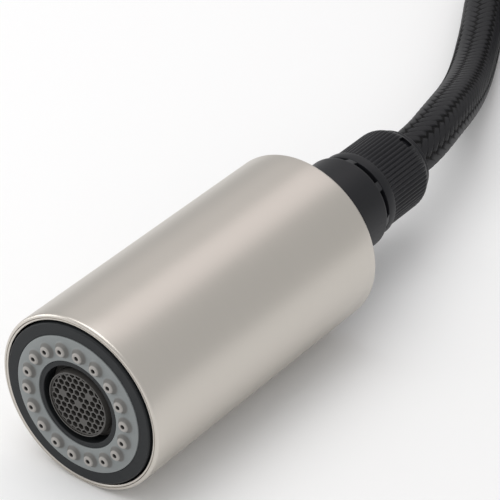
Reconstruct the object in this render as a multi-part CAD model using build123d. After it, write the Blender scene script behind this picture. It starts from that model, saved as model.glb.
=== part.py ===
from build123d import *

import os
from math import atan2, cos, hypot, pi, radians, sin, tan

# Pull-down kitchen spray head with its braided hose, as an assembly of separate pieces.
#
# Millimetres, +Z up. The head lies on its side on a flat surface. Its axis runs along +Y, from the
# spray face at the front to the hose at the rear. The origin is on the surface, under the middle of
# the head's length. Along the axis a piece is placed by its station, which is the distance behind
# the sleeve's front rim.

# ---------------------------------------------------------------- driving dimensions
SLEEVE_RADIUS = 25.0
SLEEVE_LENGTH = 93.5
SLEEVE_WALL = 1.3
NECK_RADIUS = 14.0
NECK_END = 116.6
THREAD_RADIUS = 10.45            # G1/2 male thread, on its crests
THREAD_GAP = 0.05
NUT_START = 117.0
NUT_END = 138.6
NUT_FLANGE_RADIUS = 12.95
RIB_RADIUS = 12.35
RIB_COUNT = 60
RIB_DEPTH = 0.35
LIP_END = 140.6                  # rear end of the head
NOZZLE_COUNT = 18
NOZZLE_PITCH_RADIUS = 15.7
NOZZLE_PHASE = 4.3               # degrees from +X towards +Z
NOZZLE_TIP = -2.2                # station of the nozzle tips, the front end of the head
HONEYCOMB_PITCH = 1.935
HONEYCOMB_CELL = 1.5             # width of a cell's opening, across its flats
HONEYCOMB_PHASE = 4.9            # degrees from +X towards +Z
HOSE_DIAMETER = 14.0
HOSE_BORE = 8.0
UNION_FLATS = 19.0               # far-end union nut, for a G3/8 male thread
UNION_BORE = 7.45
UNION_LENGTH = 16.0
UNION_THREAD = 6.2

# ---------------------------------------------------------------- placing
AXIS_HEIGHT = SLEEVE_RADIUS
MIDDLE = (NOZZLE_TIP + LIP_END) / 2
HOSE_RADIUS = HOSE_DIAMETER / 2
BODY_BORE = 6.5                  # waterway through the middle of the inner body
VALVE_RADIUS = 7.5               # non-return cartridge, nominal 15 mm
PORT_RADIUS = 3.0                # water ports between the inner body and the selector disc
PORT_OFFSET = 11.0
AERATOR_RADIUS = 9.9
HUB_BORE = 11.0
FERRULE_RADIUS = 8.1
FERRULE_GRIP = 14.0              # length of hose inside the far-end crimp
NUT_BACK = 2.5                   # from the hose's end to the back of the union nut

# ---------------------------------------------------------------- hose route
# From the crimp on the head, down to the surface and along it to where the coil begins.
LEAD_ROUTE = [
    (0.0, 61.8, 25.0), (0.0, 81.8, 25.0), (-4.8, 101.2, 23.5), (-11.4, 119.4, 18.4),
    (-19.4, 137.0, 12.4), (-28.2, 155.6, 7.9), (-38.0, 176.4, 7.1), (-51.5, 200.6, 7.1),
    (-64.322, 232.090, 7.3), (-70.316, 265.557, 7.9),
]
COIL_CENTRE = (11.58, 280.226)
COIL_OUTER_TURN = 83.2
COIL_INNER_TURN = 68.8
COIL_TOP_TURN = (COIL_OUTER_TURN + COIL_INNER_TURN) / 2
COIL_LOW_HEIGHT = 7.9            # the lower turns lie on the tie's strap
COIL_TOP_HEIGHT = 20.3           # the top turn nests between the two lower ones
# Angles on the coil run clockwise from above, in degrees, from where the hose joins it.
TOP_TURN_START = -85.0
TOP_TURN_END = 140.0
TIE_ANGLE = 70.0
TIE_SPAN = 10.5                  # degrees of the coil that the tie covers
TIE_THICKNESS = 0.8
# Steps of the hose's tail after the top turn: length, turn to the right in degrees, rise.
TAIL_STEPS = [(20.0, 4.0, 0.4), (24.0, 15.0, 2.4), (26.0, 15.0, 2.9), (26.0, 15.0, 0.3)]


# ---------------------------------------------------------------- helpers
def turned(profile, rounds=()):
    """Solid of revolution about the head's axis, from (radius, station) corners."""
    section = make_face(Polyline(*profile, close=True))
    for radius, station, size in rounds:
        corner = section.vertices().sort_by_distance(Vector(radius, station, 0))[0]
        section = fillet(corner, size)
    return revolve(section, Axis.Y)


def tube(outer, inner, front, rear):
    """Plain ring between two stations."""
    return turned([(inner, front), (outer, front), (outer, rear), (inner, rear)])


def rod(radius, front, rear, x=0.0, z=0.0):
    """Round bar along the axis direction, centred at x, z from the head's axis."""
    return Pos(x, (front + rear) / 2, z) * Rot(90, 0, 0) * Cylinder(radius, rear - front)


def along(sketch, front, rear):
    """Extrude a sketch drawn in X and Z from one station to another."""
    return Pos(0, rear, 0) * Rot(90, 0, 0) * extrude(sketch, amount=rear - front)


def o_ring(radius, station, section_radius):
    """Rubber ring around the head's axis."""
    section = Pos(radius, station) * Circle(section_radius)
    return revolve(section, Axis.Y)


def ring_places(count, radius, phase=0.0):
    """X, Z places spread evenly on a circle about the head's axis."""
    angles = [radians(phase + 360.0 * step / count) for step in range(count)]
    return [(radius * cos(angle), radius * sin(angle)) for angle in angles]


def arc_slot(inner, outer, middle_angle, width_angle):
    """Sketch of a ring sector in X and Z."""
    start = middle_angle - width_angle / 2
    end = middle_angle + width_angle / 2
    corners = []
    for radius, angle in ((inner, start), (outer, start), (outer, end), (inner, end)):
        corners.append((radius * cos(radians(angle)), radius * sin(radians(angle))))
    middle_out = (outer * cos(radians(middle_angle)), outer * sin(radians(middle_angle)))
    middle_in = (inner * cos(radians(middle_angle)), inner * sin(radians(middle_angle)))
    outline = [
        Line(corners[0], corners[1]),
        ThreePointArc(corners[1], middle_out, corners[2]),
        Line(corners[2], corners[3]),
        ThreePointArc(corners[3], middle_in, corners[0]),
    ]
    return make_face(outline)


def coil_spring(wire, radius, front, rear, turns, x=0.0, z=0.0):
    """Compression spring between two stations."""
    height = rear - front - 2 * wire
    path = Helix(pitch=height / turns, height=height, radius=radius)
    start = Plane(origin=path @ 0, z_dir=path % 0)
    spring = sweep(start * Circle(wire), path=path, is_frenet=True)
    return Pos(x, rear - wire, z) * Rot(90, 0, 0) * spring


def hexagon(across_flats):
    """Regular hexagon sketch."""
    return RegularPolygon(radius=across_flats / 2, side_count=6, major_radius=False)


def turn_place(radius, angle, height):
    """Point of a coil turn, with the angle measured clockwise from where the hose joins it."""
    start = LEAD_ROUTE[-1]
    join = atan2(start[1] - COIL_CENTRE[1], start[0] - COIL_CENTRE[0])
    full = join - radians(angle)
    return (COIL_CENTRE[0] + radius * cos(full), COIL_CENTRE[1] + radius * sin(full), height)


def coil_axis():
    """Upright axis through the middle of the coil."""
    return Axis((COIL_CENTRE[0], COIL_CENTRE[1], 0), (0, 0, 1))


def coil_section_plane(angle):
    """Upright plane through the coil's axis: X is the distance from the axis and Y the height."""
    on_ring = turn_place(1.0, angle, 0.0)
    outward = Vector(on_ring[0] - COIL_CENTRE[0], on_ring[1] - COIL_CENTRE[1], 0)
    sideways = outward.cross(Vector(0, 0, 1))
    return Plane(origin=(COIL_CENTRE[0], COIL_CENTRE[1], 0), x_dir=outward, z_dir=sideways)


def tail_route():
    """Points of the hose from the end of its top turn to the far-end crimp."""
    point = turn_place(COIL_TOP_TURN, TOP_TURN_END, COIL_TOP_HEIGHT)
    heading = atan2(point[1] - COIL_CENTRE[1], point[0] - COIL_CENTRE[0]) - pi / 2
    points = [point]
    for length, turn, rise in TAIL_STEPS:
        heading -= radians(turn)
        flat = (length**2 - rise**2) ** 0.5
        point = (point[0] + flat * cos(heading), point[1] + flat * sin(heading), point[2] + rise)
        points.append(point)
    return points


def hose_run(points, name):
    """Round hose along straight runs joined by the largest tangent arcs that fit."""
    vectors = [Vector(*point) for point in points]
    bends = []
    for before, corner, after in zip(vectors, vectors[1:], vectors[2:]):
        first = corner - before
        second = after - corner
        shorter = min(first.length, second.length)
        bends.append(0.45 * shorter / tan(radians(first.get_angle(second)) / 2))
    path = FilletPolyline(*points, radius=bends)
    start = Plane(origin=path @ 0, z_dir=path % 0)
    hose = sweep(start * Circle(HOSE_RADIUS), path=path)
    expected = pi * HOSE_RADIUS**2 * path.length
    print(name, "length", round(path.length, 1), "bend radii", [round(bend) for bend in bends])
    print(name, "volume over section times length", round(hose.volume / expected, 4))
    return hose


def beyond_tail(piece):
    """Move a fitting drawn along +Z from the origin to the hose's far end."""
    points = tail_route()
    end = Vector(*points[-1])
    direction = end - Vector(*points[-2])
    return Plane(origin=end, z_dir=direction) * piece


# ---------------------------------------------------------------- casing
def make_sleeve():
    """Drawn metal sleeve, with an inward front lip and a rear shoulder that the neck clamps."""
    inside = SLEEVE_RADIUS - SLEEVE_WALL
    lip = inside - 0.4
    shoulder = SLEEVE_LENGTH - 1.5
    profile = [
        (lip, 0.0), (SLEEVE_RADIUS, 0.0), (SLEEVE_RADIUS, SLEEVE_LENGTH), (11.2, SLEEVE_LENGTH),
        (11.2, shoulder), (inside, shoulder), (inside, 2.0), (lip, 1.6),
    ]
    rounds = [(SLEEVE_RADIUS, 0.0, 0.9), (lip, 0.0, 0.35), (SLEEVE_RADIUS, SLEEVE_LENGTH, 1.0)]
    return turned(profile, rounds)


def make_inner_body():
    """Moulded waterway: front cup, centre web with one port, and the threaded rear spigot."""
    cup = SLEEVE_RADIUS - SLEEVE_WALL - 0.3
    profile = [
        (2.4, 20.0), (19.0, 20.0), (19.0, 13.5), (cup, 13.5), (cup, 25.0), (12.0, 25.0),
        (12.0, 86.0), (cup, 86.0), (cup, 91.2), (THREAD_RADIUS, 91.2), (THREAD_RADIUS, 126.0),
        (VALVE_RADIUS + 0.1, 126.0), (VALVE_RADIUS + 0.1, 104.0), (BODY_BORE, 104.0),
        (BODY_BORE, 29.0), (2.4, 29.0),
    ]
    body = turned(profile)
    # The supply leaves the centre waterway through one chimney, offset to the selector's ports.
    chimney = rod(6.0, 25.0, 33.0, x=PORT_OFFSET)
    body = body + (chimney - rod(BODY_BORE, 20.0, 40.0))
    body -= rod(PORT_RADIUS, 20.0, 29.0, x=PORT_OFFSET)
    body -= rod(4.4, 20.0, 24.0, x=PORT_OFFSET)
    body -= Pos(PORT_OFFSET / 2, 29.5, 0) * Box(PORT_OFFSET, 3.0, 2 * PORT_RADIUS)
    for angle in (60, 120, 180, 240, 300):
        rib = Pos(17.6, 55.5, 0) * Box(11.4, 61.4, 1.6)
        body += Rot(0, -angle, 0) * rib
    return body


def make_shoulder_gasket():
    """Flat rubber ring between the inner body and the sleeve's rear shoulder."""
    return tube(21.5, 12.0, 91.25, SLEEVE_LENGTH - 1.55)


def make_docking_neck():
    """Neck that screws on the spigot, clamps the sleeve, and centres the head in the spout."""
    bore = THREAD_RADIUS + THREAD_GAP
    profile = [
        (bore, SLEEVE_LENGTH + 0.02), (NECK_RADIUS, SLEEVE_LENGTH + 0.02), (NECK_RADIUS, 114.2),
        (13.2, NECK_END), (bore, NECK_END),
    ]
    neck = turned(profile, [(NECK_RADIUS, 114.2, 2.0)])
    for step in range(8):
        window = arc_slot(11.5, 15.0, 19.0 + 45.0 * step, 34.0)
        neck -= along(window, 114.5, NECK_END + 1.0)
    return neck


# ---------------------------------------------------------------- turning spray face
def make_face_ring():
    """Black face: outer ring, recess for the nozzle mat, hub for the aerator, spray chamber."""
    profile = [
        (HUB_BORE, -0.6), (12.4, -0.6), (12.4, 1.4), (19.5, 1.4), (19.5, -0.6), (22.8, -0.6),
        (22.8, 9.0), (21.4, 9.0), (21.4, 3.4), (12.9, 3.4), (12.9, 9.0), (HUB_BORE, 9.0),
    ]
    rounds = [(22.8, -0.6, 0.4), (19.5, -0.6, 0.25), (12.4, -0.6, 0.2), (HUB_BORE, -0.6, 0.2)]
    ring = turned(profile, rounds)
    for x, z in ring_places(NOZZLE_COUNT, NOZZLE_PITCH_RADIUS, NOZZLE_PHASE):
        ring -= rod(1.0, 1.0, 4.0, x, z)
    return ring


def make_nozzle_mat():
    """Soft silicone ring with a raised, rounded nozzle over each spray hole."""
    mat = turned([(12.45, -0.8), (19.45, -0.8), (19.45, 1.35), (12.45, 1.35)],
                 [(12.45, -0.8, 0.2), (19.45, -0.8, 0.25)])
    cone_profile = [(0, 0.0), (2.05, 0.0), (2.05, -0.8), (1.2, NOZZLE_TIP), (0, NOZZLE_TIP)]
    cone = turned(cone_profile, [(1.2, NOZZLE_TIP, 0.35)])
    drill = rod(0.45, NOZZLE_TIP - 1.0, 2.0)
    for x, z in ring_places(NOZZLE_COUNT, NOZZLE_PITCH_RADIUS, NOZZLE_PHASE):
        mat += Pos(x, 0, z) * cone
    for x, z in ring_places(NOZZLE_COUNT, NOZZLE_PITCH_RADIUS, NOZZLE_PHASE):
        mat -= Pos(x, 0, z) * drill
    return mat


def make_selector_disc():
    """Disc welded behind the face ring, with one port to the aerator and one to the nozzles."""
    profile = [
        (3.1, 9.6), (12.9, 9.6), (12.9, 9.05), (22.8, 9.05), (22.8, 11.0), (18.6, 11.0),
        (18.6, 19.6), (3.1, 19.6),
    ]
    disc = turned(profile)
    disc -= tube(19.0, 17.4, 14.6, 17.0)
    # The aerator port slants inward to the hub, the spray port slants outward to the chamber.
    disc -= rod(PORT_RADIUS, 12.0, 20.0, x=PORT_OFFSET)
    disc -= Pos(PORT_OFFSET - 3.0, 13.3, 0) * Box(6.0, 8.6, 4.0)
    disc -= rod(PORT_RADIUS, 12.0, 20.0, z=PORT_OFFSET)
    disc -= Pos(0, 12.3, PORT_OFFSET + 3.0) * Box(4.0, 8.0, 4.0)
    return disc


def make_face_seal():
    """Rubber ring that seals the selector disc in the inner body's cup."""
    return o_ring(18.2, 15.8, 0.75)


def make_pivot_screw():
    """Shoulder screw that the spray face turns on, reached once the aerator is out."""
    profile = [
        (0, 7.0), (4.6, 7.0), (4.6, 9.5), (3.04, 9.5), (3.04, 19.9), (2.35, 19.9),
        (2.35, 28.0), (0, 28.0),
    ]
    screw = turned(profile, [(4.6, 7.0, 0.5)])
    return screw - along(hexagon(3.0), 6.5, 8.6)


def make_port_seal():
    """Spring-loaded rubber cup between the fixed port and the selector disc."""
    return tube(4.3, PORT_RADIUS, 19.65, 22.2).moved(Pos(PORT_OFFSET, 0, 0))


def make_port_spring():
    """Spring behind the port seal."""
    return coil_spring(0.25, 3.7, 22.25, 23.9, 2, x=PORT_OFFSET)


# ---------------------------------------------------------------- aerator cartridge
def make_aerator_housing():
    """Threaded shell of the aerator, with a thin raised lip around its outlet."""
    profile = [
        (8.75, -0.7), (9.1, -0.7), (9.45, 1.2), (9.45, 2.2), (AERATOR_RADIUS, 2.5),
        (AERATOR_RADIUS, 3.0), (10.9, 3.4), (10.9, 6.0), (9.2, 6.0), (9.2, 2.6), (8.85, 2.6),
        (8.85, -0.1),
    ]
    return turned(profile, [(8.75, -0.7, 0.12), (9.1, -0.7, 0.15)])


def honeycomb_cells():
    """X, Z places of the open cells, the centre cell and three around it left solid."""
    reach = 8.9
    first = radians(HONEYCOMB_PHASE)
    second = radians(HONEYCOMB_PHASE + 60.0)
    solid = {(0, 0), (1, 2), (-3, 1), (2, -3)}
    places = []
    for i in range(-6, 7):
        for j in range(-6, 7):
            x = HONEYCOMB_PITCH * (i * cos(first) + j * cos(second))
            z = HONEYCOMB_PITCH * (i * sin(first) + j * sin(second))
            if hypot(x, z) < reach and (i, j) not in solid:
                places.append((x, z))
    return places


def make_aerator_honeycomb():
    """Outlet insert of thin-walled hexagonal cells."""
    cell = Rot(0, 0, HONEYCOMB_PHASE + 30.0) * hexagon(HONEYCOMB_CELL)
    cells = Sketch() + [Pos(x, z) * cell for x, z in honeycomb_cells()]
    plate = Circle(8.8) - (cells & Circle(8.4))
    return along(plate, -0.3, 2.5)


def make_aerator_diffuser():
    """Disc of small jets that breaks up the stream."""
    disc = tube(9.1, 0.0, 3.0, 4.0)
    for count, radius in ((8, 3.4), (14, 6.4)):
        for x, z in ring_places(count, radius):
            disc -= rod(0.5, 2.5, 4.5, x, z)
    return disc


def make_flow_regulator():
    """Plastic flow restrictor with a ring of calibrated holes."""
    disc = turned([(0, 4.1), (9.1, 4.1), (9.1, 5.2), (3.2, 5.2), (3.2, 5.7), (0, 5.7)])
    for x, z in ring_places(6, 5.6):
        disc -= rod(0.9, 3.5, 6.0, x, z)
    return disc


def make_aerator_gasket():
    """Rubber washer behind the aerator."""
    return tube(10.8, 7.4, 6.05, 6.9)


# ---------------------------------------------------------------- non-return valve
def make_valve_body():
    """Cartridge in the spigot: seat at the inlet side, guide spider at the outlet side."""
    profile = [
        (6.3, 104.1), (VALVE_RADIUS, 104.1), (VALVE_RADIUS, 108.6), (6.4, 108.6), (6.4, 111.2),
        (VALVE_RADIUS, 111.2), (VALVE_RADIUS, 118.0), (4.0, 118.0), (4.0, 116.4), (6.0, 116.4),
        (6.0, 105.8), (6.3, 105.8),
    ]
    body = turned(profile)
    spider = tube(2.6, 1.35, 104.1, 105.8)
    for angle in (0, 120, 240):
        spider += Rot(0, -angle, 0) * (Pos(4.3, 104.95, 0) * Box(4.2, 1.7, 1.4))
    return body + spider


def make_valve_poppet():
    """Poppet on a guided stem, held shut by its spring."""
    profile = [
        (0, 102.0), (1.3, 102.0), (1.3, 113.4), (4.9, 114.6), (4.9, 116.35), (3.2, 116.35),
        (3.2, 117.2), (0, 117.2),
    ]
    return turned(profile, [(3.2, 117.2, 0.4)])


def make_valve_spring():
    """Spring that shuts the poppet."""
    return coil_spring(0.2, 1.9, 106.0, 113.2, 5)


def make_valve_seal():
    """Rubber ring in the cartridge's groove."""
    return o_ring(7.0, 109.9, 0.58)


def make_inlet_washer():
    """Rubber washer between the spigot and the hose nipple."""
    return tube(9.9, 6.2, 126.05, 127.95)


def make_inlet_screen():
    """Stainless strainer held inside the washer."""
    disc = tube(6.15, 0.0, 126.7, 127.1)
    for count, radius in ((6, 1.7), (12, 3.4), (18, 5.0)):
        for x, z in ring_places(count, radius):
            disc -= rod(0.4, 126.0, 128.0, x, z)
    return disc


# ---------------------------------------------------------------- hose nut
def make_swivel_nut():
    """Ribbed hose nut: smooth front flange, fine ribs, rounded rear end with snap windows."""
    bore = THREAD_RADIUS + THREAD_GAP
    shoulder = 130.9
    ribs_start = 120.1
    ribs_end = 136.6
    profile = [
        (bore, NUT_START), (NUT_FLANGE_RADIUS, NUT_START), (NUT_FLANGE_RADIUS, ribs_start),
        (RIB_RADIUS, ribs_start + 0.5), (RIB_RADIUS, ribs_end), (11.5, NUT_END), (8.7, NUT_END),
        (8.7, shoulder), (bore, shoulder),
    ]
    rounds = [(NUT_FLANGE_RADIUS, NUT_START, 0.4), (RIB_RADIUS, ribs_end, 1.6)]
    nut = turned(profile, rounds)
    groove = Pos(RIB_RADIUS, 0) * Rectangle(2 * RIB_DEPTH, 0.55)
    grooves = Sketch() + [Rot(0, 0, 360.0 * step / RIB_COUNT) * groove for step in range(RIB_COUNT)]
    nut -= along(grooves, ribs_start + 0.6, ribs_end + 0.1)
    for step in range(3):
        window = arc_slot(11.0, 13.0, 66.5 + 120.0 * step, 17.0)
        nut -= along(window, 135.3, 137.4)
    return nut


def make_nut_lip():
    """Snap ring that closes the nut's rear end around the hose."""
    profile = [
        (7.6, 138.9), (8.0, 138.9), (8.0, 136.9), (8.55, 136.9), (8.55, 138.9), (10.5, 138.9),
        (10.5, LIP_END), (7.6, LIP_END),
    ]
    return turned(profile, [(10.5, LIP_END, 0.5), (7.6, LIP_END, 0.4)])


# ---------------------------------------------------------------- hose
def make_swivel_nipple():
    """Brass nipple that the nut turns on, with its barbed tail inside the hose."""
    profile = [
        (3.0, 128.0), (9.9, 128.0), (9.9, 130.3), (HOSE_BORE / 2, 130.8),
        (HOSE_BORE / 2, 140.0), (3.0, 140.0),
    ]
    return turned(profile)


def make_head_ferrule():
    """Stainless crimp around the hose's head end."""
    return tube(HOSE_RADIUS + 0.85, HOSE_RADIUS + 0.02, 131.0, 136.6)


def make_supply_hose():
    """Hose from the head to where it joins its coil."""
    return hose_run(LEAD_ROUTE, "lead")


def make_hose_coil():
    """Outer shape of the put-away hose: two turns side by side and part of a third on top."""
    width = COIL_OUTER_TURN - COIL_INNER_TURN
    section_plane = coil_section_plane(TOP_TURN_END)
    pair = Pos(COIL_TOP_TURN, COIL_LOW_HEIGHT) * SlotCenterToCenter(width, HOSE_DIAMETER)
    top = Pos(COIL_TOP_TURN, COIL_TOP_HEIGHT) * Circle(HOSE_RADIUS)
    lower = revolve(section_plane * pair, coil_axis())
    upper = revolve(section_plane * top, coil_axis(), TOP_TURN_END - TOP_TURN_START)
    return lower + upper


def make_hose_tail():
    """Last stretch of the hose, from its top turn to the far-end crimp."""
    return hose_run(tail_route(), "tail")


def make_coil_tie():
    """Hook-and-loop strap around the three strands of the coil."""
    places = [(COIL_INNER_TURN, COIL_LOW_HEIGHT), (COIL_OUTER_TURN, COIL_LOW_HEIGHT),
              (COIL_TOP_TURN, COIL_TOP_HEIGHT)]
    inner = make_hull([Pos(x, y) * Circle(HOSE_RADIUS + 0.08).edge() for x, y in places])
    outer = offset(inner, TIE_THICKNESS)
    far_side = coil_section_plane(TIE_ANGLE + TIE_SPAN / 2)
    return revolve(far_side * (outer - inner), coil_axis(), TIE_SPAN)


# ---------------------------------------------------------------- far-end fitting
def end_ring(outer, inner, low, high):
    """Ring on the fitting's own axis, between two distances from the hose's end."""
    middle = Pos(0, 0, (low + high) / 2)
    return middle * (Cylinder(outer, high - low) - Cylinder(inner, high - low))


def make_end_ferrule():
    """Stainless crimp around the hose's far end, turned in over the nipple."""
    crimp = FERRULE_RADIUS
    shell = end_ring(crimp, HOSE_RADIUS + 0.02, -FERRULE_GRIP, 0.0)
    return beyond_tail(shell + end_ring(crimp, HOSE_BORE / 2 + 0.05, 0.0, 1.2))


def make_end_nipple():
    """Brass nipple at the far end, with the collar that holds the union nut."""
    tail = end_ring(HOSE_BORE / 2, 3.0, -FERRULE_GRIP, NUT_BACK + 6.4)
    return beyond_tail(tail + end_ring(6.9, 3.0, NUT_BACK + 4.6, NUT_BACK + 6.4))


def make_union_nut():
    """Hexagon union nut for a G3/8 male thread, with a relief behind the thread."""
    blank = extrude(hexagon(UNION_FLATS), amount=UNION_LENGTH)
    envelope = Cylinder(UNION_FLATS / 2 + 1.1, UNION_LENGTH, align=(Align.CENTER, Align.CENTER, Align.MIN))
    blank &= chamfer(envelope.edges().filter_by(GeomType.CIRCLE), 0.9)
    body = Pos(0, 0, NUT_BACK) * blank
    mouth = NUT_BACK + UNION_LENGTH
    relief_end = mouth - UNION_THREAD
    for radius, low, high in (
        (HOSE_BORE / 2 + 0.1, NUT_BACK - 1.0, mouth),
        (UNION_BORE + 0.4, NUT_BACK + 4.5, relief_end),
        (UNION_BORE, relief_end, mouth + 1.0),
    ):
        body -= Pos(0, 0, (low + high) / 2) * Cylinder(radius, high - low)
    return beyond_tail(body)


def make_end_gasket():
    """Flat washer in the union nut, against the nipple's collar."""
    return beyond_tail(end_ring(7.3, 4.2, NUT_BACK + 6.5, NUT_BACK + 8.3))


# ---------------------------------------------------------------- assembly
HEAD_PIECES = {
    "sleeve": make_sleeve,
    "inner_body": make_inner_body,
    "shoulder_gasket": make_shoulder_gasket,
    "docking_neck": make_docking_neck,
    "face_ring": make_face_ring,
    "nozzle_mat": make_nozzle_mat,
    "selector_disc": make_selector_disc,
    "face_seal": make_face_seal,
    "pivot_screw": make_pivot_screw,
    "port_seal": make_port_seal,
    "port_spring": make_port_spring,
    "aerator_housing": make_aerator_housing,
    "aerator_honeycomb": make_aerator_honeycomb,
    "aerator_diffuser": make_aerator_diffuser,
    "flow_regulator": make_flow_regulator,
    "aerator_gasket": make_aerator_gasket,
    "valve_body": make_valve_body,
    "valve_poppet": make_valve_poppet,
    "valve_spring": make_valve_spring,
    "valve_seal": make_valve_seal,
    "inlet_washer": make_inlet_washer,
    "inlet_screen": make_inlet_screen,
    "swivel_nut": make_swivel_nut,
    "nut_lip": make_nut_lip,
    "swivel_nipple": make_swivel_nipple,
    "head_ferrule": make_head_ferrule,
}

HOSE_PIECES = {
    "supply_hose": make_supply_hose,
    "hose_coil": make_hose_coil,
    "hose_tail": make_hose_tail,
    "coil_tie": make_coil_tie,
    "end_ferrule": make_end_ferrule,
    "end_nipple": make_end_nipple,
    "union_nut": make_union_nut,
    "end_gasket": make_end_gasket,
}


def main():
    """Build every piece and write it to its own file."""
    os.makedirs("parts", exist_ok=True)
    for name, make in HEAD_PIECES.items():
        export_step(Pos(0, -MIDDLE, AXIS_HEIGHT) * make(), f"parts/{name}.step")
    for name, make in HOSE_PIECES.items():
        export_step(make(), f"parts/{name}.step")


main()
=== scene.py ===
"""Looks of a pull-down kitchen spray head, its braided hose and its union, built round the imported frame.

Everything is in metres. The head's axis runs along +Y at AXIS_HEIGHT, and its spray face looks along -Y.
"""

from __future__ import annotations

import logging
import math
from dataclasses import dataclass, field
from enum import Enum

import bmesh
import bpy
from mathutils import Matrix, Vector


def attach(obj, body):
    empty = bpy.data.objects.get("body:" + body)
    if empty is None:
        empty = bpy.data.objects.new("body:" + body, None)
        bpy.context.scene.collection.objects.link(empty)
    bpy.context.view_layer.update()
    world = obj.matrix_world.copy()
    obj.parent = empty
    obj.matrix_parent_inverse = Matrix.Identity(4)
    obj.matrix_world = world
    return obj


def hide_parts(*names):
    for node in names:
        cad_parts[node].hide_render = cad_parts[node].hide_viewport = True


LOG = logging.getLogger("spray_head")
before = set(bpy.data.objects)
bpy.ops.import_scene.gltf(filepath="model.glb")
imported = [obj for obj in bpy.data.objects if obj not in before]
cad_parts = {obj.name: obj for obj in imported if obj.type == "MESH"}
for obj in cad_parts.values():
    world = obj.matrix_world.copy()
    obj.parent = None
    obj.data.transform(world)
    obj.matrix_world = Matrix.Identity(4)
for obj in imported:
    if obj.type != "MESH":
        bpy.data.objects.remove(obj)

MM = 0.001
AXIS_HEIGHT = 25.0 * MM
FRONT_RIM = -69.2 * MM  # where the sleeve's front rim stands along Y
NOZZLE_COUNT = 18
NOZZLE_CIRCLE = 15.7  # millimetres, like every size in the classes below unless it says MM
NOZZLE_PHASE = 4.3  # degrees from +X towards +Z
MAT_FRONT = -0.8
NOZZLE_TIP = -2.2
BRAID_REPEAT = 8  # strands after which the braid repeats, half of them over and half under

Colour = tuple[float, float, float]
Point = tuple[float, float, float]


class Slot(Enum):
    """Names of material slots; nothing in this script gives them to pieces."""

    NICKEL = "brushed_nickel"
    BLACK = "black_plastic"
    SILICONE = "grey_silicone"
    BRAID = "braided_nylon"
    STRAP = "strap_fabric"


class Body(Enum):
    """Bodies of the frame that new pieces ride on."""

    HEAD = "spray_head"
    FACE = "spray_face"
    HOSE = "hose"


# ------------------------------------------------------------------ shader maths
class Value:
    """One output socket of a node tree that Python sums can be written with."""

    def __init__(self, graph: Graph, socket: bpy.types.NodeSocket) -> None:
        """Keep the graph and the socket together.

        Args:
            graph: the graph that new nodes go in.
            socket: the output socket that holds this value.
        """
        self.graph = graph
        self.socket = socket

    def _sum(self, operation: str, first: Value | float, second: Value | float) -> Value:
        """Add one Math node.

        Args:
            operation: the Math node's operation.
            first: its first value.
            second: its second value.

        Returns:
            The node's result.
        """
        return self.graph.node("ShaderNodeMath", {"operation": operation}, {0: first, 1: second})

    def __add__(self, other: Value | float) -> Value:
        """Add."""
        return self._sum("ADD", self, other)

    __radd__ = __add__

    def __sub__(self, other: Value | float) -> Value:
        """Subtract."""
        return self._sum("SUBTRACT", self, other)

    def __rsub__(self, other: float) -> Value:
        """Subtract from a number."""
        return self._sum("SUBTRACT", other, self)

    def __mul__(self, other: Value | float) -> Value:
        """Multiply."""
        return self._sum("MULTIPLY", self, other)

    __rmul__ = __mul__

    def __truediv__(self, other: Value | float) -> Value:
        """Divide."""
        return self._sum("DIVIDE", self, other)

    def __pow__(self, other: Value | float) -> Value:
        """Raise to a power."""
        return self._sum("POWER", self, other)

    def __mod__(self, other: Value | float) -> Value:
        """Remainder that stays positive."""
        return self._sum("FLOORED_MODULO", self, other)

    def __lt__(self, other: Value | float) -> Value:
        """One where smaller, zero elsewhere."""
        return self._sum("LESS_THAN", self, other)

    def floor(self) -> Value:
        """Whole part."""
        return self._sum("FLOOR", self, 0.0)

    def abs(self) -> Value:
        """Size without sign."""
        return self._sum("ABSOLUTE", self, 0.0)

    def angle(self, across: Value) -> Value:
        """Angle of the point that lies this far up.

        Args:
            across: how far across it lies.

        Returns:
            The angle in radians.
        """
        return self._sum("ARCTAN2", self, across)

    def sine(self) -> Value:
        """Sine of the value in radians."""
        return self._sum("SINE", self, 0.0)

    def ramp(self, low: float, high: float) -> Value:
        """Smooth step from 0 at low to 1 at high.

        Args:
            low: where the step begins.
            high: where it ends.

        Returns:
            The smooth step.
        """
        return self.graph.node(
            "ShaderNodeMapRange",
            {"interpolation_type": "SMOOTHSTEP"},
            {"Value": self, "From Min": low, "From Max": high},
        )


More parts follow.
